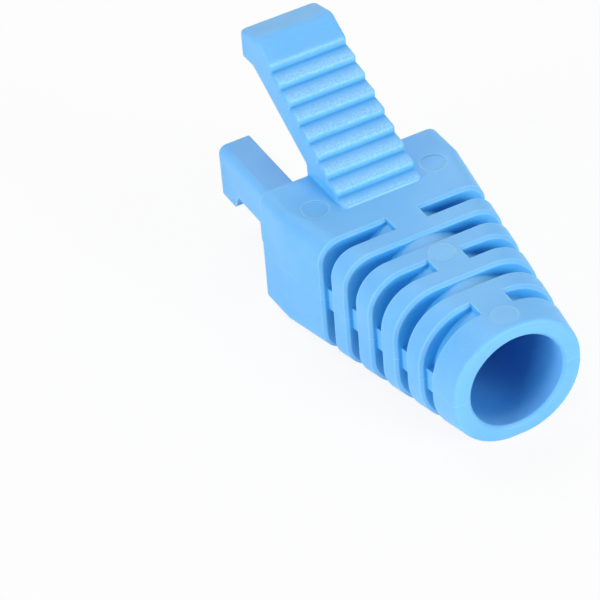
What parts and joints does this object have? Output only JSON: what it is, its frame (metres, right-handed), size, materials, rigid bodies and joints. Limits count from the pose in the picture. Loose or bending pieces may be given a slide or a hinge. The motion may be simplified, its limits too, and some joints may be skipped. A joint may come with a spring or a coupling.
{
  "type": "plug strain relief boot",
  "caption": "Moulded boot that slips over a round cable behind a modular plug, with a slotted flexible tail, side arms and a ribbed latch lever.",
  "frame": {"origin": "on the axis of the cable bore, in the front face of the body", "axes": "+X towards the plug, along the cable; +Z towards the lever's side; +Y to the left when looking along +X"},
  "size_m": [0.0305, 0.0138, 0.0164],
  "materials": {
    "boot_plastic": "soft semi-matte moulded plastic"
  },
  "bodies": {
    "root": {"boot": "boot_plastic"}
  },
  "joints": []
}
